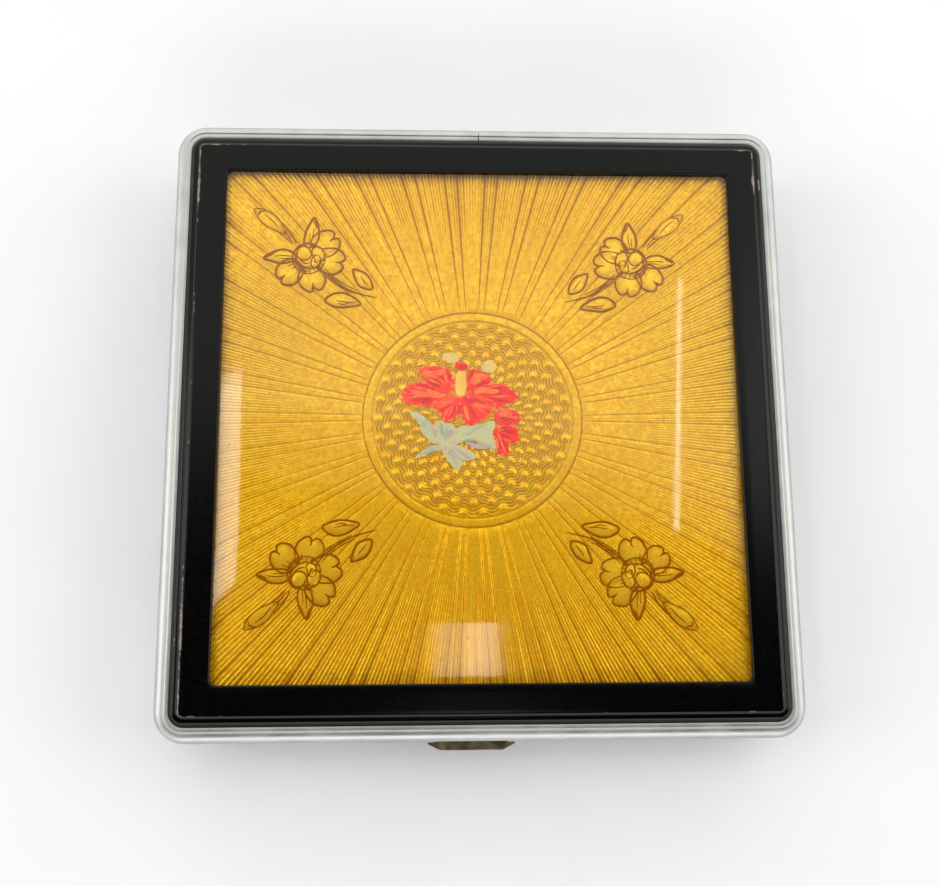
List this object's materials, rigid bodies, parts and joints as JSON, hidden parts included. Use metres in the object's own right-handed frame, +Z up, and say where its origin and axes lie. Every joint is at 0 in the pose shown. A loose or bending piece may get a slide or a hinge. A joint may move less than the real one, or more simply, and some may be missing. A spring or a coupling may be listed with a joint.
{
  "type": "powder compact",
  "caption": "Square metal powder compact with a domed clear window over an engraved gilt plate, a mirror lid and a powder well under an inner door.",
  "frame": {"origin": "centre of the bottom of the closed case's bounding box, on the face it rests on", "axes": "+Z up out of the lid's window, +Y towards the lid hinge, -Y towards the thumb catch, +X to the right as seen from the catch side"},
  "size_m": [0.076, 0.0788, 0.014],
  "materials": {
    "rim_metal": "polished plate with fine handling scratches",
    "black_enamel": "gloss black enamel, worn along its shoulder",
    "steel": "plain drawn steel",
    "inner_brass": "satin gilt brass",
    "powder": "loose face powder",
    "gauze": "fine woven gauze",
    "velour": "short pile velour",
    "ribbon": "satin ribbon",
    "catch_metal": "darkened plate worn to brass",
    "clear_plastic": "clear moulded plastic, glossy",
    "gilt": "engine turned gilt with engraved sprays and a painted flower",
    "card": "plain packing card",
    "mirror": "bevelled mirror glass"
  },
  "bodies": {
    "base": {"base_rim": "rim_metal", "base_pan": "black_enamel", "base_hinge_leaf": "rim_metal", "hinge_pin": "steel", "powder_well": "inner_brass", "loose_powder": "powder", "sifter_ring": "inner_brass", "sifter_gauze": "gauze", "powder_puff": "velour", "puff_ribbon": "ribbon", "door_lugs": "inner_brass", "door_pin": "steel", "catch_bracket": "inner_brass", "catch_spring": "steel", "catch_rivets": "inner_brass"},
    "inner_door": {"inner_door": "inner_brass"},
    "thumb_catch": {"thumb_catch": "catch_metal"},
    "lid": {"lid_rim": "rim_metal", "lid_panel": "black_enamel", "clear_dome": "clear_plastic", "foil_plate": "gilt", "lid_backing": "card", "mirror_glass": "mirror", "mirror_bezel": "inner_brass", "lid_hinge_leaf": "rim_metal", "catch_keeper": "rim_metal"}
  },
  "joints": [
    {"name": "lid_hinge", "type": "hinge", "parent": "base", "child": "lid", "pos_m": [0, 0.0382, 0.0069], "axis": [-1, 0, 0], "range_deg": [0, 110]},
    {"name": "door_hinge", "type": "hinge", "parent": "base", "child": "inner_door", "pos_m": [0, 0.0318, 0.00765], "axis": [-1, 0, 0], "range_deg": [0, 83]},
    {"name": "catch_slide", "type": "slide", "parent": "base", "child": "thumb_catch", "axis": [0, 1, 0], "range_m": [0, 0.0007], "stiffness_N_per_m": 1500, "springref_m": -0.0006, "deforming": ["catch_spring"]}
  ],
  "couplings": [
    {"joint": "door_hinge", "follows": "lid_hinge", "ratio": 0.75}
  ]
}
